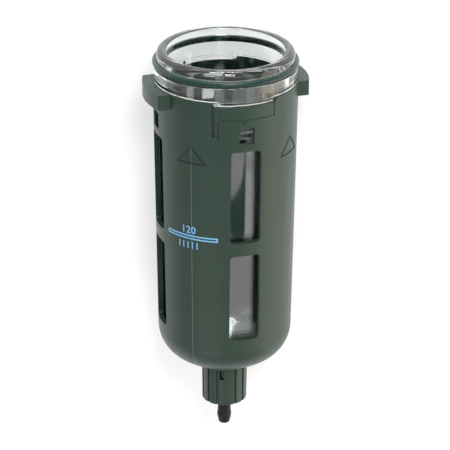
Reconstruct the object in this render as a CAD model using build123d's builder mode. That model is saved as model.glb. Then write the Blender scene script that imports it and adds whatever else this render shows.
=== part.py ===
from build123d import *
import os
from math import cos, radians, sin, tan

# Lubricator bowl: a clear bowl in a slotted guard, with a twist drain at its foot.
# Millimetres, +Z up, origin on the axis at the top of the bowl's lip.
# The sight windows face +X, -X, +Y and -Y; the bayonet lugs stand on +X and -X.

# Guard: outer shape, wall and level of the rim
guard_top_r = 30.0
guard_draft = 0.85
guard_wall = 2.4
rim_z = -13.0
shoulder_z = -124.0
shoulder_r = 15.0
floor_slope = 31.0
neck_r = 10.1
neck_chamfer = 0.4

# Sight windows: four columns of two, with a bridge between
window_w = 12.7
window_corner_r = 1.7
upper_window_z = (-75.1, -34.4)
lower_window_z = (-119.7, -80.9)

# Small windows over the sight windows, where the bowl's nubs snap in
snap_w = 6.2
snap_z = (-31.2, -24.2)
snap_corner_r = 0.4
dimple_w = 2.0
dimple_h = 0.6
dimple_z = -21.4
dimple_angle = -2.3

# Bayonet lugs
lug_r = 34.3
lug_half_w = 12.5
lug_h = 6.5
lug_round = 0.6

# Notches in the rim, front and back, and the shallow panel below each
notch_top_angle = 27.3
notch_foot_angle = 24.5
notch_depth = 2.0
panel_z = (-20.6, -14.9)
panel_depth = 0.45
panel_angles = (-21.3, 24.5)
long_groove_z = (-27.4, -12.5)
long_groove_angles = (-27.5, -25.1)
long_groove_depth = 0.8
short_groove_z = (-28.6, -21.0)
short_groove_angles = (-23.0, -22.0)
short_groove_depth = 0.5

# Engraved arrows between the sight windows
arrow_apex_z = -32.5
arrow_base_z = -40.5
arrow_half_w = 7.1
arrow_line_w = 0.75
engrave_depth = 0.35

# Bowl: lip, seal groove, collar and wall
mouth_r = 24.6
mouth_depth = 12.7
lip_outer_r = 28.5
lip_round = 2.3
lip_h = 4.05
groove_r = 27.55
collar_r = 29.7
collar_top_z = -6.75
collar_foot_z = -12.95
wall_gap = 0.5
bowl_wall = 2.5
floor_flat_r = 8.4
floor_hole_r = 5.1
key_angle = 23.6
key_h = 1.6
nub_w = 5.4
nub_top_z = -24.8
nub_foot_z = -29.8
nub_reach = 1.7

# Seals, each a ring of round section, which is drawn with a few flats
bowl_seal_d = 2.62
bowl_seal_z = -5.4
bowl_seal_flats = 12
stem_ring_flats = 8
ring_slack = 0.03

# Drain: bush, gasket and nut in the bowl's floor
gasket_t = 1.2
gasket_r = 7.2
flange_r = 7.6
flange_t = 2.2
shank_r = 4.9
shank_foot_z = -154.5
seat_r = 2.2
seat_foot_z = -140.9
guide_r = 3.4
key_flat = 2.85
key_flat_z = -150.2
thread_slack = 0.05
nut_across_flats = 13.0
nut_h = 3.2
nut_rim_r = 7.6
nut_rim_t = 1.0

# Drain knob
knob_r = 9.75
knob_draft = 0.6
knob_top_z = -142.6
knob_foot_z = -160.5
knob_cup_r = 7.9
knob_hub_top_z = -149.5
knob_floor_t = 2.9
knob_turn = -11.3
grip_pitch = 26.8
grip_panel = 46.0
grip_count = 6
grip_w = 1.15
grip_depth = 0.85
knob_chamfer = 0.6
latch_angle = -12.5
latch_z = (-148.0, -143.4)
latch_w = 1.6
tongue_w = 0.75
tongue_t = 0.9
tongue_gap = 0.9
tongue_slit = 0.12
tongue_recess = 0.15
tooth_h = 0.7
tooth_r = 7.0

# Drain nozzle, which is also the valve's stem
nozzle_foot_z = -173.3
nozzle_r = 2.85
barb_r = 3.07
barb_z = -169.0
tip_r = 2.1
nozzle_bore_r = 1.2
nozzle_bore_top_z = -143.6
collar_ring_r = 4.6
collar_ring_z = (-157.5, -156.1)
stem_r = 3.33
stem_top_z = -142.9
plug_r = 2.0
plug_top_z = -137.6
cross_hole_r = 0.8
stem_flat = 2.8
stem_flat_top_z = -148.0
valve_seal_z = -139.5
valve_seal_section_r = 0.51
stem_seal_z = -146.4
stem_seal_section_r = 0.54
seal_groove_slack = 0.1

os.makedirs("parts", exist_ok=True)


def guard_r(z, inset=0.0):
    """Radius of the guard's drafted side at a height, less an inset."""
    return guard_top_r - (rim_z - z) * tan(radians(guard_draft)) - inset


def side_and_floor(top_z, inset, foot_r):
    """Outline of the drafted side, round shoulder and sloped floor, at an inset."""
    foot = radians(90 - floor_slope)
    centre_r = guard_r(shoulder_z) - shoulder_r
    bend = shoulder_r - inset
    slope_r = centre_r + bend * cos(foot)
    slope_z = shoulder_z - bend * sin(foot)
    foot_z = slope_z - (slope_r - foot_r) * tan(radians(floor_slope))
    middle = (centre_r + bend * cos(foot / 2), shoulder_z - bend * sin(foot / 2))
    return (
        (guard_r(top_z, inset), top_z),
        (centre_r + bend, shoulder_z),
        middle,
        (slope_r, slope_z),
        (foot_r, foot_z),
    )


def at_angle(radius, angle):
    """Point on a circle, with the angle counted from -Y towards +X."""
    return (radius * sin(radians(angle)), -radius * cos(radians(angle)))


def wedge(reach, start_angle, end_angle):
    """Corners of a wedge from the axis, wider than a circle of that radius."""
    far = reach / cos(radians(end_angle - start_angle) / 2)
    return ((0, 0), at_angle(far, start_angle), at_angle(far, end_angle))


# Bowl, clear: one moulding with lip, seal groove, collar, keys, nubs and drain seat
bowl_inset = guard_wall + wall_gap
inner_inset = bowl_inset + bowl_wall
outer_side = side_and_floor(collar_foot_z, bowl_inset, floor_flat_r)
inner_side = side_and_floor(-mouth_depth - 4, inner_inset, floor_flat_r - 0.4)
bowl_floor_z = outer_side[4][1]
bowl_floor_top_z = inner_side[4][1]
lip_top = (lip_outer_r - lip_round, 0)
lip_side = (lip_outer_r, -lip_round)

with BuildPart() as bowl:
    with BuildSketch(Plane.XZ):
        with BuildLine():
            Polyline((mouth_r, -mouth_depth), (mouth_r, 0), lip_top)
            TangentArc(lip_top, lip_side, tangent=(1, 0))
            Polyline(
                lip_side,
                (lip_outer_r, -lip_h),
                (groove_r, -lip_h),
                (groove_r, collar_top_z),
                (collar_r - 0.3, collar_top_z),
                (collar_r, collar_top_z - 0.3),
                (collar_r - 0.1, collar_foot_z + 0.3),
                (collar_r - 0.4, collar_foot_z),
                outer_side[0],
                outer_side[1],
            )
            ThreePointArc(outer_side[1], outer_side[2], outer_side[3])
            Polyline(
                outer_side[3],
                outer_side[4],
                (floor_hole_r, bowl_floor_z),
                (floor_hole_r, bowl_floor_top_z),
                inner_side[4],
                inner_side[3],
            )
            ThreePointArc(inner_side[3], inner_side[2], inner_side[1])
            Polyline(inner_side[1], inner_side[0], (mouth_r, -mouth_depth))
        make_face()
    revolve(axis=Axis.Z)

    # Keys under the collar, which stop the bowl turning in the guard
    with BuildSketch(Plane.XY.offset(collar_foot_z - key_h)):
        for turn in (0, 180):
            Polygon(*wedge(collar_r, turn - key_angle, turn + key_angle), align=None)
        Circle(collar_r - 0.4, mode=Mode.INTERSECT)
        Circle(guard_r(rim_z, bowl_inset) - 0.2, mode=Mode.SUBTRACT)
    extrude(amount=key_h + 0.2)

    # Snap nubs: flat on top, ramped below, so the bowl pushes in from above
    nub_r = guard_r(nub_top_z, bowl_inset)
    for turn in (0, 90, 180, 270):
        nub_face = Plane(origin=(0, 0, 0), x_dir=at_angle(1, turn), z_dir=at_angle(1, turn - 90))
        with BuildSketch(nub_face):
            with BuildLine():
                Polyline(
                    (nub_r - 0.6, nub_top_z),
                    (nub_r + nub_reach, nub_top_z - 0.3),
                    (nub_r + nub_reach, nub_top_z - 2.0),
                    (nub_r - 0.6, nub_foot_z),
                    close=True,
                )
            make_face()
        extrude(amount=nub_w / 2, both=True)
bowl.part.label = "bowl"
export_step(bowl.part, "parts/bowl.step")


# Seal in the groove under the lip, rubber
with BuildPart() as bowl_seal:
    with BuildSketch(Plane.XZ):
        with Locations((groove_r + ring_slack + bowl_seal_d / 2, bowl_seal_z)):
            RegularPolygon(bowl_seal_d / 2, bowl_seal_flats)
    revolve(axis=Axis.Z)
bowl_seal.part.label = "bowl_seal"
export_step(bowl_seal.part, "parts/bowl_seal.step")


# Core of the guard less the depth of the engraving, to limit the arrow cutters
guard_outside = side_and_floor(rim_z, 0, neck_r)
guard_inside = side_and_floor(rim_z, guard_wall, neck_r)

with BuildPart() as arrow_cutter:
    for turn in (45, 135, 225, 315):
        arrow_face = Plane(origin=(0, 0, 0), x_dir=at_angle(1, turn + 90), z_dir=at_angle(1, turn))
        with BuildSketch(arrow_face.offset(guard_top_r - 6)):
            with BuildLine():
                Polyline(
                    (-arrow_half_w, arrow_base_z),
                    (0, arrow_apex_z),
                    (arrow_half_w, arrow_base_z),
                    close=True,
                )
            make_face()
            offset(amount=-arrow_line_w, kind=Kind.INTERSECTION, mode=Mode.SUBTRACT)
        extrude(amount=8)
    with BuildSketch(Plane.XZ):
        Polygon(
            (0, rim_z - 10),
            (guard_r(rim_z - 10, engrave_depth), rim_z - 10),
            (guard_r(rim_z - 40, engrave_depth), rim_z - 40),
            (0, rim_z - 40),
            align=None,
        )
    revolve(axis=Axis.Z, mode=Mode.SUBTRACT)

# Guard, glass-filled nylon: slotted side, lugs, notches and neck for the knob
with BuildPart() as bowl_guard:
    with BuildSketch(Plane.XZ):
        with BuildLine():
            Polyline(guard_outside[0], guard_outside[1])
            ThreePointArc(guard_outside[1], guard_outside[2], guard_outside[3])
            Polyline(guard_outside[3], guard_outside[4], guard_inside[4], guard_inside[3])
            ThreePointArc(guard_inside[3], guard_inside[2], guard_inside[1])
            Polyline(guard_inside[1], guard_inside[0], guard_outside[0])
        make_face()
    revolve(axis=Axis.Z)
    neck_edges = bowl_guard.edges().filter_by(GeomType.CIRCLE).group_by(Axis.Z)[0]
    chamfer(neck_edges, length=neck_chamfer)

    # Lugs with square ends, fused to the side
    with BuildSketch(Plane.XY.offset(rim_z - lug_h)):
        Circle(lug_r)
        Rectangle(2 * lug_r, 2 * lug_half_w, mode=Mode.INTERSECT)
        Circle(guard_top_r - 1, mode=Mode.SUBTRACT)
    extrude(amount=lug_h)
    lug_corners = bowl_guard.edges().filter_by(Axis.Z)
    outer_corners = lug_corners.filter_by(lambda e: abs(abs(e.center().Y) - lug_half_w) < 0.1)
    fillet(outer_corners.filter_by(lambda e: abs(e.center().X) > guard_top_r), radius=lug_round)

    # Sight windows and snap windows, right through on both axes
    for face in (Plane.XZ, Plane.YZ):
        for low, high in (upper_window_z, lower_window_z):
            with BuildSketch(face):
                with Locations((0, (low + high) / 2)):
                    RectangleRounded(window_w, high - low, window_corner_r)
            extrude(amount=lug_r, both=True, mode=Mode.SUBTRACT)
        with BuildSketch(face):
            with Locations((0, sum(snap_z) / 2)):
                RectangleRounded(snap_w, snap_z[1] - snap_z[0], snap_corner_r)
        extrude(amount=lug_r, both=True, mode=Mode.SUBTRACT)

    # Notches with sloped ends
    notch_top_x = guard_top_r * sin(radians(notch_top_angle))
    notch_foot_x = guard_top_r * sin(radians(notch_foot_angle))
    with BuildSketch(Plane.XZ):
        Polygon(
            (-notch_top_x, rim_z + 0.1),
            (notch_top_x, rim_z + 0.1),
            (notch_foot_x, rim_z - notch_depth),
            (-notch_foot_x, rim_z - notch_depth),
            align=None,
        )
    extrude(amount=guard_top_r + 1, both=True, mode=Mode.SUBTRACT)

    # Shallow panel, grooves and dimple round each notch, the same at the back
    shallow_cuts = (
        (panel_angles, panel_z, panel_depth),
        (long_groove_angles, long_groove_z, long_groove_depth),
        (short_groove_angles, short_groove_z, short_groove_depth),
    )
    for angles, levels, depth in shallow_cuts:
        with BuildSketch(Plane.XY.offset(levels[0])):
            for turn in (0, 180):
                Polygon(*wedge(guard_top_r + 2, turn + angles[0], turn + angles[1]), align=None)
            Circle(guard_r(sum(levels) / 2, depth), mode=Mode.SUBTRACT)
        extrude(amount=levels[1] - levels[0], mode=Mode.SUBTRACT)
    for turn in (0, 90, 180, 270):
        dimple_face = Plane(
            origin=(0, 0, dimple_z),
            x_dir=at_angle(1, turn + 90 + dimple_angle),
            z_dir=at_angle(1, turn + dimple_angle),
        )
        with BuildSketch(dimple_face.offset(guard_r(dimple_z, engrave_depth))):
            SlotOverall(dimple_w, dimple_h)
        extrude(amount=2, mode=Mode.SUBTRACT)
    add(arrow_cutter.part, mode=Mode.SUBTRACT)
bowl_guard.part.label = "bowl_guard"
export_step(bowl_guard.part, "parts/bowl_guard.step")


# Drain bush: flange in the bowl, threaded shank through the floor, valve seat and guide
gasket_top_z = bowl_floor_top_z + gasket_t
bush_top_z = gasket_top_z + flange_t

with BuildPart() as drain_body:
    with BuildSketch(Plane.XZ):
        Polygon(
            (seat_r + 0.6, bush_top_z),
            (flange_r - 0.5, bush_top_z),
            (flange_r, bush_top_z - 0.5),
            (flange_r, gasket_top_z),
            (shank_r, gasket_top_z),
            (shank_r, shank_foot_z + 0.5),
            (shank_r - 0.5, shank_foot_z),
            (guide_r, shank_foot_z),
            (guide_r, seat_foot_z - 0.7),
            (seat_r, seat_foot_z),
            (seat_r, bush_top_z - 0.6),
            align=None,
        )
    revolve(axis=Axis.Z)
    # Two flats near the foot keep the stem from turning
    with BuildSketch(Plane.XY.offset(shank_foot_z)):
        Circle(shank_r - 0.6)
        Rectangle(2 * key_flat, 2 * shank_r, mode=Mode.SUBTRACT)
    extrude(amount=key_flat_z - shank_foot_z)
drain_body.part.label = "drain_body"
export_step(drain_body.part, "parts/drain_body.step")


# Gasket under the bush's flange
with BuildPart() as drain_gasket:
    with BuildSketch(Plane.XY.offset(bowl_floor_top_z)):
        Circle(gasket_r)
        Circle(shank_r + 0.1, mode=Mode.SUBTRACT)
    extrude(amount=gasket_t)
drain_gasket.part.label = "drain_gasket"
export_step(drain_gasket.part, "parts/drain_gasket.step")


# Nut under the bowl's floor, hexagonal with a round rim that the knob's latches catch
nut_foot_z = bowl_floor_z - nut_h

with BuildPart() as drain_nut:
    with BuildSketch(Plane.XY.offset(nut_foot_z)):
        RegularPolygon(nut_across_flats / 2, 6, major_radius=False)
    extrude(amount=nut_h)
    with BuildSketch(Plane.XY.offset(nut_foot_z)):
        Circle(nut_rim_r)
    extrude(amount=-nut_rim_t)
    with Locations((0, 0, bowl_floor_z)):
        Hole(shank_r + thread_slack)
drain_nut.part.label = "drain_nut"
export_step(drain_nut.part, "parts/drain_nut.step")


# Knob: a ribbed cup that turns on the bush's thread, with two latches near its top
knob_floor_top_z = knob_foot_z + knob_floor_t
knob_foot_r = knob_r - (knob_top_z - knob_foot_z) * tan(radians(knob_draft))

with BuildPart() as drain_knob:
    with BuildSketch(Plane.XZ):
        Polygon(
            (knob_cup_r, knob_top_z),
            (knob_r, knob_top_z),
            (knob_foot_r, knob_foot_z + knob_chamfer),
            (knob_foot_r - knob_chamfer, knob_foot_z),
            (nozzle_r + 0.3, knob_foot_z),
            (nozzle_r + 0.3, knob_floor_top_z),
            (shank_r + thread_slack, knob_floor_top_z),
            (shank_r + thread_slack, knob_hub_top_z),
            (knob_cup_r, knob_hub_top_z),
            align=None,
        )
    revolve(axis=Axis.Z)

    # Grip grooves, left out over two plain panels
    groove_turns = []
    for side in (0, 180):
        for step in range(grip_count):
            groove_turns.append(knob_turn + side + grip_panel / 2 + step * grip_pitch)
    with BuildSketch(Plane.XY.offset(knob_foot_z - 1)):
        for turn in groove_turns:
            x, y = at_angle(knob_r, turn)
            with Locations(Location((x, y, 0), (0, 0, 1), turn)):
                Rectangle(grip_w, 2 * grip_depth)
    extrude(amount=knob_top_z - knob_foot_z + 2, mode=Mode.SUBTRACT)

    # Latch windows, each with a tongue that hangs from its top edge, and a tooth inside
    wall_reach = knob_r - knob_cup_r + 2
    tongue_r = knob_r - tongue_recess - tongue_t
    tongue_x = latch_w / 2 - tongue_slit - tongue_w / 2
    tongue_top_z = latch_z[1] + 0.3
    tongue_foot_z = latch_z[0] + tongue_gap
    for side in (0, 180):
        turn = knob_turn + latch_angle + side
        latch_face = Plane(origin=(0, 0, 0), x_dir=at_angle(1, turn + 90), z_dir=at_angle(1, turn))
        with BuildSketch(latch_face.offset(knob_cup_r - 1)):
            with Locations((0, sum(latch_z) / 2)):
                Rectangle(latch_w, latch_z[1] - latch_z[0])
        extrude(amount=wall_reach, mode=Mode.SUBTRACT)
        with BuildSketch(latch_face.offset(tongue_r)):
            with Locations((tongue_x, tongue_foot_z)):
                Rectangle(tongue_w, tongue_top_z - tongue_foot_z, align=(Align.CENTER, Align.MIN))
        extrude(amount=tongue_t)
        with BuildSketch(latch_face.offset(tooth_r)):
            with Locations((tongue_x, tongue_foot_z)):
                Rectangle(tongue_w, tooth_h, align=(Align.CENTER, Align.MIN))
        extrude(amount=tongue_r - tooth_r + tongue_t / 2)
drain_knob.part.label = "drain_knob"
export_step(drain_knob.part, "parts/drain_knob.step")


# Nozzle: hollow stem, collar ring on the knob's floor, valve plug at its head
valve_groove_r = plug_r - 0.9
stem_groove_r = guide_r - 1.15

with BuildPart() as drain_nozzle:
    with BuildSketch(Plane.XZ):
        Polygon(
            (0, nozzle_foot_z),
            (tip_r, nozzle_foot_z),
            (tip_r + 0.35, nozzle_foot_z + 0.6),
            (barb_r, barb_z - 0.6),
            (barb_r, barb_z + 0.4),
            (nozzle_r, barb_z + 1.6),
            (nozzle_r, collar_ring_z[0]),
            (collar_ring_r, collar_ring_z[0]),
            (collar_ring_r, collar_ring_z[1]),
            (stem_r, collar_ring_z[1]),
            (stem_r, stem_top_z),
            (plug_r, stem_top_z),
            (plug_r, plug_top_z + 0.4),
            (plug_r - 0.4, plug_top_z),
            (0, plug_top_z),
            align=None,
        )
    revolve(axis=Axis.Z)
    ring_grooves = (
        (valve_groove_r, valve_seal_z, valve_seal_section_r),
        (stem_groove_r, stem_seal_z, stem_seal_section_r),
    )
    for floor_r, level, section in ring_grooves:
        groove_h = 2 * (section + seal_groove_slack)
        with BuildSketch(Plane.XY.offset(level - groove_h / 2)):
            Circle(stem_r + 1)
            Circle(floor_r, mode=Mode.SUBTRACT)
        extrude(amount=groove_h, mode=Mode.SUBTRACT)
    with BuildSketch(Plane.XY.offset(nozzle_foot_z)):
        Circle(nozzle_bore_r)
    extrude(amount=nozzle_bore_top_z - nozzle_foot_z, mode=Mode.SUBTRACT)
    with BuildSketch(Plane.XZ):
        with Locations((0, nozzle_bore_top_z)):
            Circle(cross_hole_r)
    extrude(amount=stem_r + 1, both=True, mode=Mode.SUBTRACT)
    flat_foot_z = collar_ring_z[1]
    with BuildSketch(Plane.XY.offset(flat_foot_z)):
        Circle(stem_r + 1)
        Rectangle(2 * stem_flat, 2 * stem_r + 2, mode=Mode.SUBTRACT)
    extrude(amount=stem_flat_top_z - flat_foot_z, mode=Mode.SUBTRACT)
drain_nozzle.part.label = "drain_nozzle"
export_step(drain_nozzle.part, "parts/drain_nozzle.step")


# Seals on the nozzle's stem
with BuildPart() as valve_seal:
    with BuildSketch(Plane.XZ):
        with Locations((valve_groove_r + ring_slack + valve_seal_section_r, valve_seal_z)):
            RegularPolygon(valve_seal_section_r, stem_ring_flats)
    revolve(axis=Axis.Z)
valve_seal.part.label = "valve_seal"
export_step(valve_seal.part, "parts/valve_seal.step")

with BuildPart() as stem_seal:
    with BuildSketch(Plane.XZ):
        with Locations((stem_groove_r + ring_slack + stem_seal_section_r, stem_seal_z)):
            RegularPolygon(stem_seal_section_r, stem_ring_flats)
    revolve(axis=Axis.Z)
stem_seal.part.label = "stem_seal"
export_step(stem_seal.part, "parts/stem_seal.step")

print("bowl floor", round(bowl_floor_z, 2), "inside", round(bowl_floor_top_z, 2))
print("bush top", round(bush_top_z, 2), "nut foot", round(nut_foot_z, 2))
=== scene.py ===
from math import cos, pi, radians, sin, tan

import bmesh
import bpy
from mathutils import Matrix, Vector


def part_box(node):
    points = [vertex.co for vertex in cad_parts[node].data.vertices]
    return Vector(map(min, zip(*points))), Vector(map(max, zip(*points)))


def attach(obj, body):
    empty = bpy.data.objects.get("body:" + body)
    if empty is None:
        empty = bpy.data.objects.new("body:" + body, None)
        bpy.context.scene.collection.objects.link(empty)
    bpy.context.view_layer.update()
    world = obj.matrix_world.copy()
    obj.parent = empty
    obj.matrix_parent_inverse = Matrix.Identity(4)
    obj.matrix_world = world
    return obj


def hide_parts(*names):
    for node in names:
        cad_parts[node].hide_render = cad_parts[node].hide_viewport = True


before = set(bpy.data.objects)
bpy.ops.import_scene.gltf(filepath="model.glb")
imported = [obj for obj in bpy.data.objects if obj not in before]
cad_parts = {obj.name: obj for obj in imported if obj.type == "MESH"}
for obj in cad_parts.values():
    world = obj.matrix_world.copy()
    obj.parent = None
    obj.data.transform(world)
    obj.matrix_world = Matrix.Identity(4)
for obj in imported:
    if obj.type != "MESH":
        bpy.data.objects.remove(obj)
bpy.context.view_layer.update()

MM = 0.001


# Guard. One moulding in glass-filled nylon, dark green and satin. It is spun from the
# section of its wall; the lugs are fused on, and windows, notches and marks are cut in.
RIM_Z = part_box("bowl_guard")[1].z / MM
GUARD_R = 30.0
DRAFT = tan(radians(0.85))
WALL = 2.4
SHOULDER_Z = -124.0
SHOULDER_R = 15.0
FLOOR_SLOPE = radians(31.0)
NECK_R = 10.1
LUG_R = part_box("bowl_guard")[1].x / MM
LUG_HALF_W = 12.5
LUG_H = 6.5
LUG_CORNER = 0.7
LUG_BORE_INSET = WALL - 0.6
LUG_BORE_LEVELS = (RIM_Z - 12, RIM_Z + 5)
EDGE_ROUND = 0.2
TURN_STEPS = 108
SIDE_STEPS = 14
BEND_STEPS = 14
CORNER_STEPS = 6
WELD = 0.02
SAME_POINT = 1e-4
OVERSHOOT = 2.0
SHARP_ANGLE = radians(35)
ROUND_ANGLE = radians(38)


def linear(hex_colour):
    """An sRGB hex colour as linear RGBA."""
    channels = [int(hex_colour[i:i + 2], 16) / 255 for i in (1, 3, 5)]
    return [c / 12.92 if c <= 0.04045 else ((c + 0.055) / 1.055) ** 2.4 for c in channels] + [1.0]


def add_node(tree, kind, settings=None, **links):
    """Adds a node. Settings go on the node or its sockets, links join its inputs to outputs."""
    made = tree.nodes.new(kind)
    for key, value in (settings or {}).items():
        if hasattr(made, str(key)):
            setattr(made, key, value)
        else:
            made.inputs[key].default_value = value
    for key, socket in links.items():
        tree.links.new(socket, made.inputs[key.replace("_", " ")])
    return made


def new_material(name):
    """An empty node material and its node tree."""
    material = bpy.data.materials.new(name)
    material.use_nodes = True
    material.node_tree.nodes.clear()
    return material, material.node_tree


def guard_r(z, inset=0.0):
    """Radius of the drafted side at a height, less an inset, in millimetres."""
    return GUARD_R - (RIM_Z - z) * DRAFT - inset


def side_and_floor(top_z, inset, foot_r):
    """Outline in millimetres of side, round shoulder and sloped floor, at an inset."""
    centre_r = guard_r(SHOULDER_Z) - SHOULDER_R
    bend = SHOULDER_R - inset
    outline = []
    for step in range(SIDE_STEPS):
        z = top_z + (SHOULDER_Z - top_z) * step / SIDE_STEPS
        outline.append((guard_r(z, inset), z))
    for step in range(BEND_STEPS + 1):
        angle = (pi / 2 - FLOOR_SLOPE) * step / BEND_STEPS
        outline.append((centre_r + bend * cos(angle), SHOULDER_Z - bend * sin(angle)))
    last_r, last_z = outline[-1]
    outline.append((foot_r, last_z - (last_r - foot_r) * tan(FLOOR_SLOPE)))
    return outline


def spun(outline, steps=TURN_STEPS, closed=True):
    """Solid of revolution from an outline of (radius, height) points in millimetres.

    It starts half a step off the windows' axis, so that no window edge runs along a seam.
    """
    bm = bmesh.new()
    start = Matrix.Rotation(pi / steps, 3, "Z")
    points = [bm.verts.new(start @ Vector((0, -r, z)) * MM) for r, z in outline]
    edges = [bm.edges.new(pair) for pair in zip(points, points[1:])]
    if closed:
        edges.append(bm.edges.new((points[-1], points[0])))
    bmesh.ops.spin(bm, geom=points + edges, cent=(0, 0, 0), axis=(0, 0, 1), angle=2 * pi,
                   steps=steps, use_merge=True, use_duplicate=False)
    bmesh.ops.remove_doubles(bm, verts=bm.verts, dist=SAME_POINT * MM)
    bmesh.ops.recalc_face_normals(bm, faces=bm.faces)
    return bm


def turned(bm, angle):
    """Turns a bmesh about the object's axis."""
    bmesh.ops.rotate(bm, verts=bm.verts, matrix=Matrix.Rotation(angle, 3, "Z"))
    return bm


def swept(corners, start, sweep, steps):
    """Solid from a section of (radius, height) corners, swept part of the way round."""
    bm = bmesh.new()
    section = bm.faces.new([bm.verts.new((0, -r * MM, z * MM)) for r, z in corners])
    turned(bm, start)
    bmesh.ops.spin(bm, geom=[section, *bm.edges, *bm.verts], cent=(0, 0, 0), axis=(0, 0, 1),
                   angle=sweep, steps=steps)
    bmesh.ops.recalc_face_normals(bm, faces=bm.faces)
    return bm


def pulled(bm, faces, travel):
    """Pulls faces along a vector in metres into a solid whose faces point outwards."""
    pushed = bmesh.ops.extrude_face_region(bm, geom=faces)["geom"]
    bmesh.ops.translate(bm, vec=travel,
                        verts=[v for v in pushed if isinstance(v, bmesh.types.BMVert)])
    bmesh.ops.recalc_face_normals(bm, faces=bm.faces)
    return bm


def bevelled(bm, edges, width, segments):
    """Rounds edges of a bmesh by a width in millimetres."""
    bmesh.ops.bevel(bm, geom=edges, offset=width * MM, offset_type="OFFSET", affect="EDGES",
                    segments=segments, profile=0.5, material=-1)
    return bm


def block(width, depth, height, centre, corner=0.0, corner_axis=1):
    """Box in millimetres, its four edges along one axis rounded."""
    bm = bmesh.new()
    size = Matrix.Diagonal((width * MM, depth * MM, height * MM, 1))
    bmesh.ops.create_cube(bm, size=1, matrix=Matrix.Translation(Vector(centre) * MM) @ size)
    if corner:
        along = [e for e in bm.edges
                 if abs((e.verts[0].co - e.verts[1].co).normalized()[corner_axis]) > 0.9]
        bevelled(bm, along, corner, CORNER_STEPS)
    return bm


def piece(name, bm):
    """Object at the origin from a bmesh, which is used up."""
    mesh = bpy.data.meshes.new(name)
    bm.to_mesh(mesh)
    bm.free()
    obj = bpy.data.objects.new(name, mesh)
    bpy.context.scene.collection.objects.link(obj)
    return obj


def combine(base, others, operation):
    """Boolean of the base with each other object; the others are used up."""
    for other in others:
        cut = base.modifiers.new("cut", "BOOLEAN")
        cut.object = other
        cut.operation = operation
        cut.solver = "EXACT"
    graph = bpy.context.evaluated_depsgraph_get()
    result = bpy.data.meshes.new_from_object(base.evaluated_get(graph))
    base.modifiers.clear()
    base.data = result
    for other in others:
        bpy.data.objects.remove(other)
    return base


def round_edges(obj, width):
    """Bevels every outer edge that is sharp enough, apart from those of the fine marks."""
    bm = bmesh.new()
    bm.from_mesh(obj.data)
    bmesh.ops.remove_doubles(bm, verts=bm.verts, dist=WELD * MM)
    bmesh.ops.dissolve_degenerate(bm, edges=bm.edges, dist=WELD * MM)
    sharp = [e for e in bm.edges if e.is_manifold and e.calc_face_angle_signed() > ROUND_ANGLE
             and all(f.material_index == 0 for f in e.link_faces)]
    bevelled(bm, sharp, width, 2)
    bmesh.ops.remove_doubles(bm, verts=bm.verts, dist=SAME_POINT * MM)
    bm.to_mesh(obj.data)
    bm.free()


def finish(obj, material, body, node, sharp=SHARP_ANGLE):
    """Shades a piece, evens its normals by face area, ties it to its body and hides the node's part.
    """
    obj.data.materials.clear()
    obj.data.materials.append(material)
    for polygon in obj.data.polygons:
        polygon.use_smooth = True
    obj.data.set_sharp_from_angle(angle=sharp)
    even = obj.modifiers.new("even_normals", "WEIGHTED_NORMAL")
    even.keep_sharp = True
    even.weight = 80
    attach(obj, body)
    if node:
        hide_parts(node)


def guard_plug(levels, inset):
    """Plug that fills the guard between two levels, at an inset from its drafted side."""
    low, high = levels
    outline = [(0, high), (guard_r(high, inset), high), (guard_r(low, inset), low), (0, low)]
    return piece("guard_plug", spun(outline, closed=False))


outside = side_and_floor(RIM_Z, 0, NECK_R)
inside = side_and_floor(RIM_Z, WALL, NECK_R)
guard = piece("guard_shell", spun(outside + inside[::-1]))

lug_disc = bmesh.new()
bmesh.ops.create_cone(lug_disc, cap_ends=True, segments=TURN_STEPS, radius1=LUG_R * MM,
                      radius2=LUG_R * MM, depth=LUG_H * MM,
                      matrix=Matrix.Translation((0, 0, (RIM_Z - LUG_H / 2) * MM)))
for side in (1, -1):
    bmesh.ops.bisect_plane(
        lug_disc, geom=lug_disc.verts[:] + lug_disc.edges[:] + lug_disc.faces[:],
        plane_co=(0, side * LUG_HALF_W * MM, 0), plane_no=(0, side, 0), clear_outer=True)
    bmesh.ops.holes_fill(lug_disc, edges=lug_disc.edges)
bmesh.ops.recalc_face_normals(lug_disc, faces=lug_disc.faces)
lug_corners = [e for e in lug_disc.edges
               if all(abs(abs(v.co.y) - LUG_HALF_W * MM) < SAME_POINT * MM for v in e.verts)
               and abs(e.verts[0].co.z - e.verts[1].co.z) > MM]
lugs = piece("lug_disc", bevelled(lug_disc, lug_corners, LUG_CORNER, 4))
# The disc's bore is a little wider than the guard's, so that the wall hides where they join.
lugs = combine(lugs, [guard_plug(LUG_BORE_LEVELS, LUG_BORE_INSET)], "DIFFERENCE")
guard = combine(guard, [lugs], "UNION")

# The marks: four arrows, a stepped panel and two grooves beside each notch, and a dimple in
# each quarter. The arrows stand a touch off 45 degrees, so that no corner meets a seam.
# A panel or groove is its angles in degrees, its levels and its depth.
ARROW_APEX_Z = -32.5
ARROW_BASE_Z = -40.5
ARROW_HALF_W = 7.1
ARROW_LINE = 0.75
ARROW_TURN = radians(45.1)
ARROW_CUT = 8.0
ENGRAVE = 0.35
DIMPLE_W = 2.0
DIMPLE_H = 0.6
DIMPLE_CUT = 6.0
DIMPLE_ROUND = DIMPLE_H / 2 - 0.01
DIMPLE_Z = -21.4
DIMPLE_ANGLE = radians(-2.3)
PANEL = ((-21.3, 24.5), (-20.6, -14.7), 0.3)
LONG_GROOVE = ((-27.5, -25.1), (-27.4, -12.0), 0.8)
SHORT_GROOVE = ((-23.0, -22.0), (-28.6, -21.0), 0.5)
PANEL_CUT_RADII = (24, 33)
PANEL_STEP = 1.5
MARK_LEVELS = (RIM_Z - 40, RIM_Z + 10)
MARK_SLOT = 1


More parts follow.
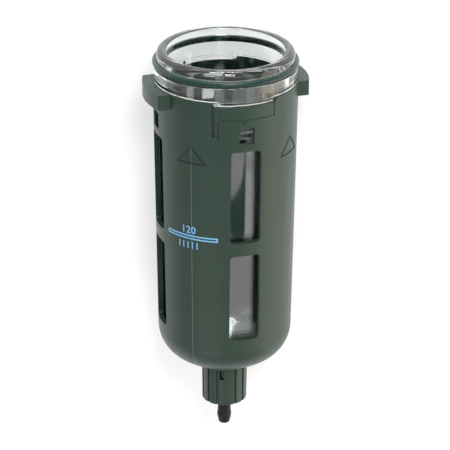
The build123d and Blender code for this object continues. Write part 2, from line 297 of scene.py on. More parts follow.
def marked(cutters, depth):
    """Cutters trimmed so that they only reach a depth into the guard's side."""
    return [combine(cutter, [guard_plug(MARK_LEVELS, depth)], "DIFFERENCE") for cutter in cutters]


arrow_corners = [(-ARROW_HALF_W, ARROW_BASE_Z), (ARROW_HALF_W, ARROW_BASE_Z), (0, ARROW_APEX_Z)]
arrow_cutters = []
for quarter in range(4):
    arrow = bmesh.new()
    face = arrow.faces.new([arrow.verts.new((x * MM, -(GUARD_R + OVERSHOOT) * MM, z * MM))
                            for x, z in arrow_corners])
    arrow.normal_update()
    line_faces = bmesh.ops.inset_individual(arrow, faces=[face], thickness=ARROW_LINE * MM,
                                            use_even_offset=True)["faces"]
    bmesh.ops.delete(arrow, geom=[face], context="FACES_ONLY")
    pulled(arrow, line_faces, (0, ARROW_CUT * MM, 0))
    arrow_cutters.append(piece("arrow_cutter", turned(arrow, ARROW_TURN + quarter * pi / 2)))
mark_cutters = marked(arrow_cutters, ENGRAVE)

inner, outer = PANEL_CUT_RADII
for (first_angle, last_angle), (low, high), depth in (PANEL, LONG_GROOVE, SHORT_GROOVE):
    corners = [(inner, low), (outer, low), (outer, high), (inner, high)]
    sweep = last_angle - first_angle
    panel_cutters = [piece("panel_cutter", swept(corners, radians(first_angle) + turn,
                                                 radians(sweep), max(3, round(sweep / PANEL_STEP))))
                     for turn in (0, pi)]
    mark_cutters += marked(panel_cutters, depth)

dimple_cutters = []
for quarter in range(4):
    dimple = block(DIMPLE_W, DIMPLE_CUT, DIMPLE_H, (0, -GUARD_R, DIMPLE_Z), DIMPLE_ROUND)
    dimple_cutters.append(piece("dimple_cutter", turned(dimple, DIMPLE_ANGLE + quarter * pi / 2)))
mark_cutters += marked(dimple_cutters, ENGRAVE)

for cutter in mark_cutters:
    for polygon in cutter.data.polygons:
        polygon.material_index = MARK_SLOT

# The openings go right through: two sight windows and a snap window in each quarter, and a
# notch with slanted sides in the rim, front and back.
WINDOW_W = 12.7
WINDOW_LEVELS = ((-75.1, -34.4), (-119.7, -80.9))
WINDOW_CORNER = 1.7
SNAP_W = 6.2
SNAP_LEVELS = (-31.2, -24.2)
SNAP_CORNER = 0.4
NOTCH_TOP_ANGLE = radians(27.3)
NOTCH_FOOT_ANGLE = radians(24.5)
NOTCH_DEPTH = 2.0
THROUGH = 3 * LUG_R

openings = [(WINDOW_W, levels, WINDOW_CORNER) for levels in WINDOW_LEVELS]
openings.append((SNAP_W, SNAP_LEVELS, SNAP_CORNER))
cutters = []
for turn in (0, pi / 2):
    for width, (low, high), corner in openings:
        opening = block(width, THROUGH, high - low, (0, 0, (low + high) / 2), corner)
        cutters.append(piece("window_cutter", turned(opening, turn)))

notch_top, notch_foot = GUARD_R * sin(NOTCH_TOP_ANGLE) * MM, GUARD_R * sin(NOTCH_FOOT_ANGLE) * MM
notch_cut = block(1, THROUGH, 2 * NOTCH_DEPTH, (0, 0, RIM_Z))
for vert in notch_cut.verts:
    half_w = notch_foot if vert.co.z < RIM_Z * MM else 2 * notch_top - notch_foot
    vert.co.x = half_w if vert.co.x > 0 else -half_w
cutters.append(piece("notch_cutter", notch_cut))

# Two empty slots keep the marks' faces apart until the edges are rounded.
for slot in (None, None):
    guard.data.materials.append(slot)
guard = combine(guard, cutters + mark_cutters, "DIFFERENCE")
round_edges(guard, EDGE_ROUND)

# Glass-filled nylon 66, moulded in a lightly spark-eroded tool: satin, faintly mottled, with
# fine draw marks down the side; the flash where the tool's slides part has a painted highlight.
# The grain is about 0.15 mm and is drawn at 0.45 mm so that it shows.
GRAIN = 0.45
MOTTLE = 13.0
DRAW_MARK = 1.1
DRAW_STRETCH = 0.03
DRAW_SHARE = 0.6
RELIEF = 0.06
FLASH_HIGHLIGHT_HALF_W = 0.11
FLASH_HIGHLIGHT_LEVELS = (-141.5, -33.0)

green_nylon, tree = new_material("green_nylon_moulded")
coords = add_node(tree, "ShaderNodeTexCoord").outputs["Object"]
grain = add_node(tree, "ShaderNodeTexNoise", {"Scale": 1 / (GRAIN * MM), "Detail": 3.0},
                 Vector=coords)
cloud = add_node(tree, "ShaderNodeTexNoise", {"Scale": 1 / (MOTTLE * MM), "Detail": 4.0},
                 Vector=coords)
drawn = add_node(tree, "ShaderNodeMapping", {"Scale": (1.0, 1.0, DRAW_STRETCH)}, Vector=coords)
streaks = add_node(tree, "ShaderNodeTexNoise", {"Scale": 1 / (DRAW_MARK * MM), "Detail": 2.0},
                   Vector=drawn.outputs["Vector"])
tint = add_node(tree, "ShaderNodeMix",
                {"data_type": "RGBA", "A": linear("#112b1f"), "B": linear("#1b3629")},
                Factor=cloud.outputs["Fac"])

# The slides part on the plane x = y. Across it, x - y grows by root two for each millimetre.
split = add_node(tree, "ShaderNodeSeparateXYZ", Vector=coords)
away = add_node(tree, "ShaderNodeMath", {"operation": "SUBTRACT"})
for socket, axis in zip(away.inputs, ("X", "Y")):
    tree.links.new(split.outputs[axis], socket)
near = add_node(tree, "ShaderNodeMath",
                {"operation": "COMPARE", 1: 0.0, 2: FLASH_HIGHLIGHT_HALF_W * 2 ** 0.5 * MM},
                Value=away.outputs[0])
within = add_node(tree, "ShaderNodeMath",
                  {"operation": "COMPARE", 1: sum(FLASH_HIGHLIGHT_LEVELS) / 2 * MM,
                   2: (FLASH_HIGHLIGHT_LEVELS[1] - FLASH_HIGHLIGHT_LEVELS[0]) / 2 * MM},
                  Value=split.outputs["Z"])
flash_highlight = add_node(tree, "ShaderNodeMath", {"operation": "MULTIPLY"}, Value=near.outputs[0])
tree.links.new(within.outputs[0], flash_highlight.inputs[1])
# Painted highlight: the pale colour along the parting stands in for light caught by the flash ridge,
# which is not modelled.
tint_and_highlight = add_node(tree, "ShaderNodeMix", {"data_type": "RGBA", "B": linear("#5d6f63")},
                   Factor=flash_highlight.outputs[0], A=tint.outputs["Result"])

sheen = add_node(tree, "ShaderNodeMapRange", {"To Min": 0.34, "To Max": 0.54},
                 Value=streaks.outputs["Fac"])
relief = add_node(tree, "ShaderNodeMath", {"operation": "MULTIPLY_ADD", 1: DRAW_SHARE},
                  Value=streaks.outputs["Fac"])
tree.links.new(grain.outputs["Fac"], relief.inputs[2])
texture = add_node(tree, "ShaderNodeBump", {"Strength": 0.5, "Distance": RELIEF * MM},
                   Height=relief.outputs[0])
surface = add_node(tree, "ShaderNodeBsdfPrincipled", {"IOR": 1.5},
                   Base_Color=tint_and_highlight.outputs["Result"], Roughness=sheen.outputs["Result"],
                   Normal=texture.outputs["Normal"])
add_node(tree, "ShaderNodeOutputMaterial", Surface=surface.outputs["BSDF"])

finish(guard, green_nylon, "bowl_assembly", "bowl_guard")


# Level mark. Light blue ink, pad printed on the guard between two windows: a long open bar
# at the full level, a plain number over it and a short scale of ticks under it.
BAR_ANGLES = (-70.0, -22.5)
BAR_LEVELS = (-74.35, -72.45)
BAR_LINE = 0.62
NUMBER = "120"
NUMBER_H = 3.1
CAP_HEIGHT = 0.7
NUMBER_LEVEL = -71.6
NUMBER_ANGLE = -48.0
NUMBER_SPACING = 1.05
NUMBER_BOLD = 0.06
TICK_W = 0.5
TICK_PITCH = 2.1
TICK_COUNT = 5
TICK_LEVELS = (-78.5, -75.5)
TICK_MIDDLE_ANGLE = -48.5
INK_LIFT = 0.05
INK_SLICE = 0.5


def wrapped(bm, middle_angle):
    """Bends a flat print, in millimetres across and up, round the guard and thickens it."""
    half = max(abs(v.co.x) for v in bm.verts)
    for step in range(int(-half / INK_SLICE), int(half / INK_SLICE) + 1):
        bmesh.ops.bisect_plane(bm, geom=bm.verts[:] + bm.edges[:] + bm.faces[:],
                               plane_co=(step * INK_SLICE, 0, 0), plane_no=(1, 0, 0))
    for vert in bm.verts:
        across, level = vert.co.x, vert.co.y
        radius = guard_r(level, -INK_LIFT)
        turn = radians(middle_angle) + across / radius
        vert.co = Vector((radius * sin(turn), -radius * cos(turn), level)) * MM
    pushed = bmesh.ops.extrude_face_region(bm, geom=bm.faces[:], use_keep_orig=True)["geom"]
    for vert in (v for v in pushed if isinstance(v, bmesh.types.BMVert)):
        outward = Vector((vert.co.x, vert.co.y, 0)).normalized()
        vert.co -= outward * 2 * INK_LIFT * MM
    bmesh.ops.recalc_face_normals(bm, faces=bm.faces)
    return bm


def rectangle(bm, low, high):
    """Adds a rectangle between two corners, in millimetres across and up."""
    corners = [(low[0], low[1]), (high[0], low[1]), (high[0], high[1]), (low[0], high[1])]
    return bm.faces.new([bm.verts.new((x, y, 0)) for x, y in corners])


bar = bmesh.new()
bar_half = guard_r(BAR_LEVELS[0]) * radians(BAR_ANGLES[1] - BAR_ANGLES[0]) / 2
bar_face = rectangle(bar, (-bar_half, BAR_LEVELS[0]), (bar_half, BAR_LEVELS[1]))
bar.normal_update()
bmesh.ops.inset_individual(bar, faces=[bar_face], thickness=BAR_LINE, use_even_offset=True)
bmesh.ops.delete(bar, geom=[bar_face], context="FACES_ONLY")
bar = wrapped(bar, sum(BAR_ANGLES) / 2)

ticks = bmesh.new()
for count in range(TICK_COUNT):
    middle = (count - (TICK_COUNT - 1) / 2) * TICK_PITCH
    rectangle(ticks, (middle - TICK_W / 2, TICK_LEVELS[0]), (middle + TICK_W / 2, TICK_LEVELS[1]))
ticks = wrapped(ticks, TICK_MIDDLE_ANGLE)

letters = bpy.data.curves.new("number", "FONT")
letters.body = NUMBER
letters.size = NUMBER_H / CAP_HEIGHT
letters.align_x = "CENTER"
letters.space_character = NUMBER_SPACING
letters.offset = NUMBER_BOLD
letters_object = bpy.data.objects.new("number", letters)
bpy.context.scene.collection.objects.link(letters_object)
bpy.context.view_layer.update()
letters_mesh = bpy.data.meshes.new_from_object(letters_object)
bpy.data.objects.remove(letters_object)
number = bmesh.new()
number.from_mesh(letters_mesh)
bmesh.ops.remove_doubles(number, verts=number.verts, dist=SAME_POINT)
bmesh.ops.translate(number, verts=number.verts, vec=(0, NUMBER_LEVEL, 0))
number = wrapped(number, NUMBER_ANGLE)

# Epoxy ink: an even matte film, a little thin and broken where the pad lifted.
PAD_GRAIN = 0.8

blue_ink, tree = new_material("blue_pad_ink")
coords = add_node(tree, "ShaderNodeTexCoord").outputs["Object"]
pad = add_node(tree, "ShaderNodeTexNoise", {"Scale": 1 / (PAD_GRAIN * MM), "Detail": 3.0},
               Vector=coords)
thin = add_node(tree, "ShaderNodeMapRange", {"From Min": 0.5, "From Max": 0.75, "To Max": 0.5},
                Value=pad.outputs["Fac"])
ink = add_node(tree, "ShaderNodeMix",
               {"data_type": "RGBA", "A": linear("#74aede"), "B": linear("#4a7590")},
               Factor=thin.outputs["Result"])
surface = add_node(tree, "ShaderNodeBsdfPrincipled", {"IOR": 1.5, "Roughness": 0.5},
                   Base_Color=ink.outputs["Result"])
add_node(tree, "ShaderNodeOutputMaterial", Surface=surface.outputs["BSDF"])

for name, print_mesh in (("level_bar", bar), ("level_ticks", ticks), ("level_number", number)):
    finish(piece(name, print_mesh), blue_ink, "bowl_assembly", None)


# Bowl. One clear moulding in polycarbonate: beaded lip, groove for the seal, collar on the
# guard's rim, drafted wall and sloped floor, with two keys and four snap nubs.
MOUTH_R = 24.6
MOUTH_DEPTH = 12.7
MOUTH_ROUND = 1.3
MOUTH_STEP_ROUND = 0.5
LIP_R = 28.5
LIP_ROUND = 2.3
LIP_H = 4.05
GROOVE_R = 27.55
GROOVE_CORNER = 0.15
COLLAR_R = 29.7
COLLAR_FOOT_R = 29.6
COLLAR_ROUND = 0.4
COLLAR_FOOT_ROUND = 0.35
FINE_ROUND = 0.3
COLLAR_LEVELS = (-12.95, -6.75)
BOWL_GAP = 0.5
BOWL_WALL = 2.5
INSIDE_TOP_Z = -MOUTH_DEPTH - 4.0
FLOOR_FOOT_R = 8.4
FLOOR_TOP_R = 8.0
FLOOR_HOLE_R = 5.1
KEY_HALF_ANGLE = radians(23.6)
KEY_H = 1.6
KEY_ROOT_R = 25.8
KEY_R = COLLAR_R - 0.5
KEY_OVERLAP = 0.3
KEY_STEPS = 29
NUB_W = 5.4
NUB_LEVELS = (-29.8, -24.8)
NUB_FACE_LEVELS = (-26.8, -25.1)
NUB_REACH = 1.7
NUB_OVERLAP = 0.6
NUB_ROUND = 0.25
BOWL_STEPS = 216


def rounded(corners, steps=8):
    """Outline through (radius, height, rounding) corners in millimetres, the rounds as arcs."""
    outline = []
    neighbours = zip(corners[-1:] + corners[:-1], corners, corners[1:] + corners[:1])
    for before, corner, after in neighbours:
        point = Vector(corner[:2])
        if not corner[2]:
            outline.append(tuple(point))
            continue
        back = (Vector(before[:2]) - point).normalized()
        ahead = (Vector(after[:2]) - point).normalized()
        half_angle = back.angle(ahead) / 2
        centre = point + (back + ahead).normalized() * corner[2] / sin(half_angle)
        reach = corner[2] / tan(half_angle)
        first, last = point + back * reach - centre, point + ahead * reach - centre
        outline += [tuple(centre + first.slerp(last, step / steps) * corner[2])
                    for step in range(steps + 1)]
    return outline


outer_side = side_and_floor(COLLAR_LEVELS[0], WALL + BOWL_GAP, FLOOR_FOOT_R)
inner_side = side_and_floor(INSIDE_TOP_Z, WALL + BOWL_GAP + BOWL_WALL, FLOOR_TOP_R)
floor_z, floor_top_z = outer_side[-1][1], inner_side[-1][1]
section = rounded([
    (MOUTH_R, -MOUTH_DEPTH, MOUTH_STEP_ROUND), (MOUTH_R, 0, MOUTH_ROUND),
    (LIP_R, 0, LIP_ROUND), (LIP_R, -LIP_H, FINE_ROUND),
    (GROOVE_R, -LIP_H, GROOVE_CORNER), (GROOVE_R, COLLAR_LEVELS[1], GROOVE_CORNER),
    (COLLAR_R, COLLAR_LEVELS[1], COLLAR_ROUND),
    (COLLAR_FOOT_R, COLLAR_LEVELS[0], COLLAR_FOOT_ROUND),
    *[(r, z, 0) for r, z in outer_side],
    (FLOOR_HOLE_R, floor_z, FINE_ROUND), (FLOOR_HOLE_R, floor_top_z, FINE_ROUND),
    *[(r, z, 0) for r, z in inner_side[::-1]],
])
bowl = piece("bowl_clear", spun(section, BOWL_STEPS))

key_foot, key_top = COLLAR_LEVELS[0] - KEY_H, COLLAR_LEVELS[0] + KEY_OVERLAP
key_section = rounded([(KEY_ROOT_R, key_foot, 0), (KEY_R, key_foot, FINE_ROUND),
                       (KEY_R, key_top, 0), (KEY_ROOT_R, key_top, 0)])
keys = [piece("key", swept(key_section, turn - KEY_HALF_ANGLE, 2 * KEY_HALF_ANGLE, KEY_STEPS))
        for turn in (0, pi)]

nub_root = guard_r(NUB_LEVELS[1], WALL + BOWL_GAP) - NUB_OVERLAP
nub_face = nub_root + NUB_OVERLAP + NUB_REACH
nub_profile = [(nub_root, NUB_LEVELS[1]), (nub_face, NUB_FACE_LEVELS[1]),
               (nub_face, NUB_FACE_LEVELS[0]), (nub_root, NUB_LEVELS[0])]
nubs = []
for quarter in range(4):
    nub = bmesh.new()
    face = nub.faces.new([nub.verts.new((-NUB_W / 2 * MM, -r * MM, z * MM)) for r, z in nub_profile])
    pulled(nub, [face], (NUB_W * MM, 0, 0))
    bevelled(nub, nub.edges[:], NUB_ROUND, 2)
    nubs.append(piece("snap_nub", turned(nub, quarter * pi / 2)))
bowl = combine(bowl, keys + nubs, "UNION")

# Polycarbonate, injection moulded and polished: clear and glossy, very slightly grey-green,
# with faint flow waves about 6 mm long and a little bloom.
FLOW_WAVE = 6.0
FLOW_HEIGHT = 0.05

clear_pc, tree = new_material("clear_polycarbonate_moulded")
coords = add_node(tree, "ShaderNodeTexCoord").outputs["Object"]
waves = add_node(tree, "ShaderNodeTexNoise", {"Scale": 1 / (FLOW_WAVE * MM), "Detail": 1.0},
                 Vector=coords)
bloom = add_node(tree, "ShaderNodeMapRange", {"To Min": 0.015, "To Max": 0.06},
                 Value=waves.outputs["Fac"])
ripple = add_node(tree, "ShaderNodeBump", {"Strength": 0.15, "Distance": FLOW_HEIGHT * MM},
                  Height=waves.outputs["Fac"])
surface = add_node(tree, "ShaderNodeBsdfPrincipled",
                   {"Base Color": linear("#eef3f1"), "IOR": 1.585, "Transmission Weight": 1.0},
                   Roughness=bloom.outputs["Result"], Normal=ripple.outputs["Normal"])
add_node(tree, "ShaderNodeOutputMaterial", Surface=surface.outputs["BSDF"])

finish(bowl, clear_pc, "bowl_assembly", "bowl")


# Seal. A nitrile ring of round section, stretched into the groove under the lip, where it
# seals the bowl in the head. It is a circle spun about the bowl's axis.
SEAL_D = 2.62
SEAL_Z = -5.4
SEAL_GAP = 0.03
SEAL_R = GROOVE_R + SEAL_GAP + SEAL_D / 2
SEAL_STEPS = 20

ring = bmesh.new()
bmesh.ops.create_circle(ring, segments=SEAL_STEPS, radius=SEAL_D / 2 * MM,
                        matrix=Matrix.Translation((0, -SEAL_R * MM, SEAL_Z * MM))
                        @ Matrix.Rotation(pi / 2, 4, "Y"))
bmesh.ops.spin(ring, geom=ring.verts[:] + ring.edges[:], cent=(0, 0, 0), axis=(0, 0, 1),
               angle=2 * pi, steps=TURN_STEPS, use_merge=True)
bmesh.ops.remove_doubles(ring, verts=ring.verts, dist=SAME_POINT * MM)
bmesh.ops.recalc_face_normals(ring, faces=ring.faces)

# Nitrile rubber, moulded and lightly greased: near black, with a soft wet shine.
GREASE_PATCH = 3.0
GREASE_HEIGHT = 0.03

nitrile, tree = new_material("nitrile_rubber_greased")
coords = add_node(tree, "ShaderNodeTexCoord").outputs["Object"]
film = add_node(tree, "ShaderNodeTexNoise", {"Scale": 1 / (GREASE_PATCH * MM), "Detail": 3.0},
                Vector=coords)
wet = add_node(tree, "ShaderNodeMapRange", {"To Min": 0.18, "To Max": 0.4},
               Value=film.outputs["Fac"])
skin = add_node(tree, "ShaderNodeBump", {"Strength": 0.1, "Distance": GREASE_HEIGHT * MM},
                Height=film.outputs["Fac"])
surface = add_node(tree, "ShaderNodeBsdfPrincipled",
                   {"Base Color": linear("#10302c"), "IOR": 1.42},
                   Roughness=wet.outputs["Result"], Normal=skin.outputs["Normal"])
add_node(tree, "ShaderNodeOutputMaterial", Surface=surface.outputs["BSDF"])

finish(piece("lip_seal", ring), nitrile, "bowl_assembly", "bowl_seal", sharp=pi)


# Drain bush, gasket and nut. Turned acetal bush and nut clamp the floor from both sides,
# with a flat rubber gasket under the flange; only the flange shows, through the mouth.
# These three and the two valve rings are the solids themselves, given their finish here.
TOOL_MARK = 0.3
TOOL_MARK_STRETCH = 0.05

black_acetal, tree = new_material("black_acetal_turned")
coords = add_node(tree, "ShaderNodeTexCoord").outputs["Object"]
lathe = add_node(tree, "ShaderNodeMapping", {"Scale": (TOOL_MARK_STRETCH, TOOL_MARK_STRETCH, 1.0)},
                 Vector=coords)
rings = add_node(tree, "ShaderNodeTexNoise", {"Scale": 1 / (TOOL_MARK * MM), "Detail": 2.0},
                 Vector=lathe.outputs["Vector"])
satin = add_node(tree, "ShaderNodeMapRange", {"To Min": 0.28, "To Max": 0.42},
                 Value=rings.outputs["Fac"])
surface = add_node(tree, "ShaderNodeBsdfPrincipled",
                   {"Base Color": linear("#151b18"), "IOR": 1.48},
                   Roughness=satin.outputs["Result"])
add_node(tree, "ShaderNodeOutputMaterial", Surface=surface.outputs["BSDF"])

for node_name, material in (("drain_body", black_acetal), ("drain_nut", black_acetal),
                            ("drain_gasket", nitrile), ("valve_seal", nitrile),
                            ("stem_seal", nitrile)):
    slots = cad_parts[node_name].data.materials
    slots.clear()
    slots.append(material)


# Drain knob. A cup in the guard's nylon, turned by hand: grip grooves round its side but for
# two plain panels, and a sprung tongue beside each that catches the nut when it is undone.
KNOB_TOP_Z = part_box("drain_knob")[1].z / MM
KNOB_FOOT_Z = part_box("drain_knob")[0].z / MM
KNOB_H = KNOB_TOP_Z - KNOB_FOOT_Z
KNOB_R = 9.75
KNOB_ROUND = 0.45
KNOB_DRAFT = radians(0.6)
KNOB_FOOT_R = KNOB_R - KNOB_H * tan(KNOB_DRAFT)
KNOB_FOOT_ROUND = 0.55
KNOB_CUP_R = 7.9
KNOB_CUP_FLOOR_Z = -149.5
KNOB_CUP_ROUND = 0.4
KNOB_POCKET_R = 4.95
KNOB_INNER_ROUND = 0.2
KNOB_FLOOR_T = 2.9
KNOB_HOLE_R = 3.15
KNOB_HOLE_ROUND = 0.25
KNOB_TURN = radians(-11.3)
KNOB_EDGE_ROUND = 0.12
KNOB_STEPS = 120
GRIP_PITCH = radians(26.8)
GRIP_PANEL = radians(46.0)
GRIP_COUNT = 6
GRIP_W = 1.15
GRIP_DEPTH = 0.85
GRIP_ROUND = 0.4
LATCH_ANGLE = radians(-12.5)
LATCH_W = 1.6
LATCH_LEVELS = (-148.0, -143.4)
LATCH_CUT = 4.0
LATCH_CUT_R = KNOB_CUP_R + 0.5
TONGUE_W = 0.75
TONGUE_T = 0.9
TONGUE_GAP = 0.9
TONGUE_SLIT = 0.12
TONGUE_RECESS = 0.15
TONGUE_ROOT = 0.3
TONGUE_ROUND = 0.08
TOOTH_W = TONGUE_W - 0.1
TOOTH_H = 0.7
TOOTH_LIFT = 0.05
TOOTH_R = 7.0

knob_floor_top = KNOB_FOOT_Z + KNOB_FLOOR_T
knob = piece("drain_knob_ribbed", spun(rounded([
    (KNOB_CUP_R, KNOB_TOP_Z, KNOB_INNER_ROUND), (KNOB_R, KNOB_TOP_Z, KNOB_ROUND),
    (KNOB_FOOT_R, KNOB_FOOT_Z, KNOB_FOOT_ROUND),
    (KNOB_HOLE_R, KNOB_FOOT_Z, KNOB_HOLE_ROUND), (KNOB_HOLE_R, knob_floor_top, 0),
    (KNOB_POCKET_R, knob_floor_top, 0), (KNOB_POCKET_R, KNOB_CUP_FLOOR_Z, KNOB_INNER_ROUND),
    (KNOB_CUP_R, KNOB_CUP_FLOOR_Z, KNOB_CUP_ROUND),
]), KNOB_STEPS))

latch_low, latch_high = LATCH_LEVELS
grooves = []
for side in (0, pi):
    for step in range(GRIP_COUNT):
        groove = block(GRIP_W, 2 * GRIP_DEPTH, KNOB_H + OVERSHOOT,
                       (0, -KNOB_R, (KNOB_TOP_Z + KNOB_FOOT_Z) / 2), GRIP_ROUND, 2)
        groove_turn = KNOB_TURN + side + GRIP_PANEL / 2 + step * GRIP_PITCH
        grooves.append(piece("groove", turned(groove, groove_turn)))
    window = block(LATCH_W, LATCH_CUT, latch_high - latch_low,
                   (0, -LATCH_CUT_R, (latch_low + latch_high) / 2))
    grooves.append(piece("latch_window", turned(window, KNOB_TURN + LATCH_ANGLE + side)))
knob = combine(knob, grooves, "DIFFERENCE")

tongue_foot, tongue_top = latch_low + TONGUE_GAP, latch_high + TONGUE_ROOT
tongue_x = LATCH_W / 2 - TONGUE_SLIT - TONGUE_W / 2
tongue_r = KNOB_R - TONGUE_RECESS - TONGUE_T
tooth_end = tongue_r + TONGUE_T / 2
tongues = []
for side in (0, pi):
    tongue = block(TONGUE_W, TONGUE_T, tongue_top - tongue_foot,
                   (tongue_x, -tongue_r - TONGUE_T / 2, (tongue_top + tongue_foot) / 2))
    bevelled(tongue, tongue.edges[:], TONGUE_ROUND, 2)
    tooth = block(TOOTH_W, tooth_end - TOOTH_R, TOOTH_H,
                  (tongue_x, -(tooth_end + TOOTH_R) / 2, tongue_foot + TOOTH_H / 2 + TOOTH_LIFT))
    turn = KNOB_TURN + LATCH_ANGLE + side
    tongues += [piece("tongue", turned(tongue, turn)), piece("tooth", turned(tooth, turn))]
knob = combine(knob, tongues, "UNION")
round_edges(knob, KNOB_EDGE_ROUND)
finish(knob, green_nylon, "drain_knob", "drain_knob")


# Nozzle. A black moulding that is tail and valve stem in one: a barb for the drain hose, a
# flange on the knob's floor, and a long stem up the bush with its two rings and cross hole.
NOZZLE_FOOT_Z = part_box("drain_nozzle")[0].z / MM
NOZZLE_R = 2.85
NOZZLE_BORE_R = 1.2
NOZZLE_BORE_TOP_Z = -143.6
NOZZLE_STEPS = 72
TIP_R = 2.35
TIP_ROUND = 0.9
BARB_R = 3.07
BARB_LEVELS = (-169.6, -168.6, -167.4)
BARB_ROUNDS = (1.5, 0.8, 1.2)
FLANGE_R = 4.6
FLANGE_LEVELS = (-157.5, -156.1)
NOZZLE_ROUND = 0.2
STEM_R = 3.33
STEM_TOP_Z = -142.9
PLUG_R = 2.0
PLUG_TOP_Z = -137.6
PLUG_ROUND = 0.4
# A ring's groove is its radius, its level and half its height.
STEM_GROOVE = (2.25, -146.4, 0.64)
VALVE_GROOVE = (1.1, -139.5, 0.61)
GROOVE_ROUND = 0.08
STEM_ROUND = 0.15
STEM_FLAT = 2.8
STEM_FLAT_TOP_Z = -148.0
FLAT_CUT = 2.0
CROSS_HOLE_R = 0.8
CROSS_HOLE_STEPS = 24

nozzle_corners = [
    (NOZZLE_BORE_R, NOZZLE_FOOT_Z, NOZZLE_ROUND), (TIP_R, NOZZLE_FOOT_Z, TIP_ROUND),
    *zip((BARB_R, BARB_R, NOZZLE_R), BARB_LEVELS, BARB_ROUNDS), (NOZZLE_R, FLANGE_LEVELS[0], 0),
    *[(FLANGE_R, z, NOZZLE_ROUND) for z in FLANGE_LEVELS], (STEM_R, FLANGE_LEVELS[1], 0)]
for side_r, (groove_r, level, half) in ((STEM_R, STEM_GROOVE), (PLUG_R, VALVE_GROOVE)):
    nozzle_corners += [(r, z, GROOVE_ROUND) for r, z in (
        (side_r, level - half), (groove_r, level - half),
        (groove_r, level + half), (side_r, level + half))]
    if side_r == STEM_R:
        nozzle_corners += [(r, STEM_TOP_Z, STEM_ROUND) for r in (STEM_R, PLUG_R)]
nozzle_corners += [(PLUG_R, PLUG_TOP_Z, PLUG_ROUND), (0, PLUG_TOP_Z, 0), (0, NOZZLE_BORE_TOP_Z, 0),
                   (NOZZLE_BORE_R, NOZZLE_BORE_TOP_Z, 0)]
nozzle = piece("drain_nozzle_barbed", spun(rounded(nozzle_corners), NOZZLE_STEPS))

cross = bmesh.new()
bmesh.ops.create_cone(cross, cap_ends=True, segments=CROSS_HOLE_STEPS,
                      radius1=CROSS_HOLE_R * MM, radius2=CROSS_HOLE_R * MM, depth=4 * STEM_R * MM,
                      matrix=Matrix.Translation((0, 0, NOZZLE_BORE_TOP_Z * MM))
                      @ Matrix.Rotation(pi / 2, 4, "X"))
nozzle_cuts = [piece("cross_hole", cross)]
for side in (1, -1):
    nozzle_cuts.append(piece("flat", block(
        FLAT_CUT, 4 * STEM_R, STEM_FLAT_TOP_Z - FLANGE_LEVELS[1],
        (side * (STEM_FLAT + FLAT_CUT / 2), 0, (STEM_FLAT_TOP_Z + FLANGE_LEVELS[1]) / 2))))
nozzle = combine(nozzle, nozzle_cuts, "DIFFERENCE")

# Black nylon, moulded: darker and coarser than the guard, with a rubbed, mottled face where
# the hose has been pushed on.
RUB_MARK = 1.3
RUB_DEPTH = 0.1

black_nylon, tree = new_material("black_nylon_moulded")
coords = add_node(tree, "ShaderNodeTexCoord").outputs["Object"]
rub = add_node(tree, "ShaderNodeTexNoise", {"Scale": 1 / (RUB_MARK * MM), "Detail": 5.0},
               Vector=coords)
tone = add_node(tree, "ShaderNodeMix",
                {"data_type": "RGBA", "A": linear("#0c120e"), "B": linear("#1a231d")},
                Factor=rub.outputs["Fac"])
matt = add_node(tree, "ShaderNodeMapRange", {"To Min": 0.35, "To Max": 0.65},
                Value=rub.outputs["Fac"])
pits = add_node(tree, "ShaderNodeBump", {"Strength": 0.3, "Distance": RUB_DEPTH * MM},
                Height=rub.outputs["Fac"])
surface = add_node(tree, "ShaderNodeBsdfPrincipled", {"IOR": 1.45, "Specular IOR Level": 0.25},
                   Base_Color=tone.outputs["Result"], Roughness=matt.outputs["Result"],
                   Normal=pits.outputs["Normal"])
add_node(tree, "ShaderNodeOutputMaterial", Surface=surface.outputs["BSDF"])

finish(nozzle, black_nylon, "drain_stem", "drain_nozzle")


# Backdrop. A white card stands upright close behind the guard, turned to the lens, and takes
# the soft shadow. Only its front is there: from behind, it is clear and shows the object.
CAMERA_AZIMUTH = radians(-17.0)
CARD_DISTANCE = 37.0
CARD_HALF_SIZE = 3000.0
CARD_LIFTS = {"Is Camera Ray": 0.325, "Is Glossy Ray": 0.6, "Is Transmission Ray": -0.2}

card = bmesh.new()
bmesh.ops.create_grid(card, x_segments=1, y_segments=1, size=CARD_HALF_SIZE * MM,
                      matrix=Matrix.Rotation(CAMERA_AZIMUTH, 4, "Z")
                      @ Matrix.Translation((0, CARD_DISTANCE * MM, 0))
                      @ Matrix.Rotation(pi / 2, 4, "X"))

# Matt paper, with a little light of its own where the lens or the gloss sees it. The share
# for glossy rays also counts for rays through the bowl, so some is taken off those.
white_card, tree = new_material("white_card")
ray = add_node(tree, "ShaderNodeLightPath")
glow = None
for ray_kind, amount in CARD_LIFTS.items():
    share = add_node(tree, "ShaderNodeMath", {"operation": "MULTIPLY_ADD", 1: amount, 2: 0.0},
                     Value=ray.outputs[ray_kind])
    if glow:
        tree.links.new(glow, share.inputs[2])
    glow = share.outputs[0]
paper = add_node(tree, "ShaderNodeBsdfDiffuse", {"Color": linear("#dcdcdc")})
lift = add_node(tree, "ShaderNodeEmission", {"Color": (1, 1, 1, 1)}, Strength=glow)
front = add_node(tree, "ShaderNodeAddShader")
tree.links.new(paper.outputs[0], front.inputs[0])
tree.links.new(lift.outputs[0], front.inputs[1])
clear = add_node(tree, "ShaderNodeBsdfTransparent")
side_seen = add_node(tree, "ShaderNodeNewGeometry").outputs["Backfacing"]
one_sided = add_node(tree, "ShaderNodeMixShader", Fac=side_seen)
tree.links.new(front.outputs[0], one_sided.inputs[1])
tree.links.new(clear.outputs[0], one_sided.inputs[2])
add_node(tree, "ShaderNodeOutputMaterial", Surface=one_sided.outputs[0])
backdrop = piece("white_card", card)
backdrop.data.materials.append(white_card)


# Light. A white room lights the object from all round. The lens, and what is seen through
# the bowl, meet it as plain white. Soft boxes add the highlights and the shadow.
WORLD_LEVEL = 0.7

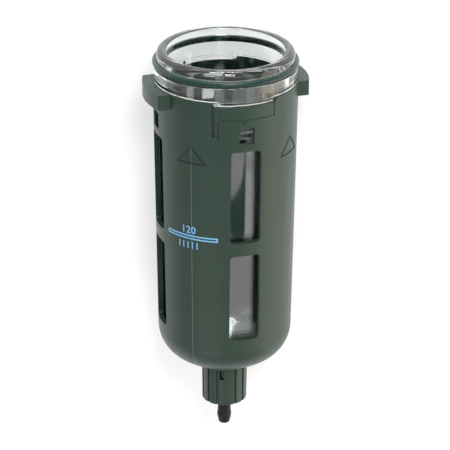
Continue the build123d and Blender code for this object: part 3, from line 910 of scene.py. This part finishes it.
world = bpy.data.worlds.new("studio")
bpy.context.scene.world = world
world.use_nodes = True
tree = world.node_tree
tree.nodes.clear()
rays = add_node(tree, "ShaderNodeLightPath")
seen = add_node(tree, "ShaderNodeMath", {"operation": "MAXIMUM"},
                Value=rays.outputs["Is Camera Ray"])
tree.links.new(rays.outputs["Is Transmission Ray"], seen.inputs[1])
brightness = add_node(tree, "ShaderNodeMapRange", {"To Min": WORLD_LEVEL, "To Max": 1.0},
                      Value=seen.outputs[0])
sky = add_node(tree, "ShaderNodeBackground", {"Color": (1, 1, 1, 1)},
               Strength=brightness.outputs["Result"])
add_node(tree, "ShaderNodeOutputWorld", Surface=sky.outputs["Background"])

LAMP_TARGET = Vector((0, 0, -0.08))
WHITE = (1.0, 1.0, 1.0)
WARM = (1.0, 0.88, 0.7)


def softbox(name, azimuth, elevation, distance, width, height, power, colour=WHITE):
    """Area lamp aimed at the guard's middle. Angles in degrees, sizes in metres, watts."""
    lamp = bpy.data.lights.new(name, "AREA")
    lamp.shape = "RECTANGLE"
    lamp.size, lamp.size_y, lamp.energy = width, height, power
    lamp.color = colour
    obj = bpy.data.objects.new(name, lamp)
    across, up = radians(azimuth), radians(elevation)
    direction = Vector((sin(across) * cos(up), -cos(across) * cos(up), sin(up)))
    obj.location = LAMP_TARGET + direction * distance
    obj.rotation_euler = (-direction).to_track_quat("-Z", "Y").to_euler()
    bpy.context.scene.collection.objects.link(obj)


softbox("key", -9, 37, 1.2, 0.3, 0.3, 6.3)
softbox("top", -17, 84, 0.8, 0.4, 0.1, 3.0)
softbox("right", 70, -15, 0.9, 0.9, 0.9, 5, WARM)
softbox("low", 17, -28, 0.9, 0.7, 0.35, 0.75)
softbox("low_left", -45, -40, 0.5, 0.3, 0.2, 0.3)

# A dim card low in front darkens what the upper sight window mirrors, as in the photograph.
# Its corners are in metres across and up, in front of the guard. The lens doesn't see it.
FLAG_AZIMUTH = radians(6)
FLAG_DISTANCE = 0.5 * cos(radians(23))
FLAG_CORNERS = ((-0.12, -0.29), (0.115, -0.29), (0.115, -0.23), (0.07, -0.2485), (-0.12, -0.2675))

flag_sheet = bmesh.new()
flag_sheet.faces.new([flag_sheet.verts.new((x, -FLAG_DISTANCE, z)) for x, z in FLAG_CORNERS])
flag = piece("dim_card", turned(flag_sheet, FLAG_AZIMUTH))
dim_card, tree = new_material("dim_card")
matt_card = add_node(tree, "ShaderNodeBsdfDiffuse", {"Color": linear("#7d9f98")})
add_node(tree, "ShaderNodeOutputMaterial", Surface=matt_card.outputs[0])
flag.data.materials.append(dim_card)
flag.visible_camera = False


# Camera. A long lens 1.0 m away, 24 degrees above, turned 17 degrees to the object's left.
# It looks at the middle of the bowl, and rolls by a quarter of a degree, as the photo does.
CAMERA_DISTANCE = 1.0066
CAMERA_ELEVATION = radians(24.23)
CAMERA_TARGET = Vector((0, 0, -0.0793))
FOCAL_PX = 2388.0
PHOTO_PX = 450
SENSOR_MM = 36.0
ROLL = radians(0.25)

lens = bpy.data.cameras.new("camera")
lens.sensor_width = SENSOR_MM
lens.lens = FOCAL_PX / PHOTO_PX * SENSOR_MM
camera = bpy.data.objects.new("camera", lens)
back = Vector((sin(CAMERA_AZIMUTH) * cos(CAMERA_ELEVATION),
               -cos(CAMERA_AZIMUTH) * cos(CAMERA_ELEVATION), sin(CAMERA_ELEVATION)))
camera.location = CAMERA_TARGET + back * CAMERA_DISTANCE
camera.rotation_mode = "QUATERNION"
aim = (-back).to_track_quat("-Z", "Y")
camera.rotation_quaternion = aim @ Matrix.Rotation(ROLL, 3, "Z").to_quaternion()
bpy.context.scene.collection.objects.link(camera)
bpy.context.scene.camera = camera
bpy.context.scene.view_settings.view_transform = "Standard"
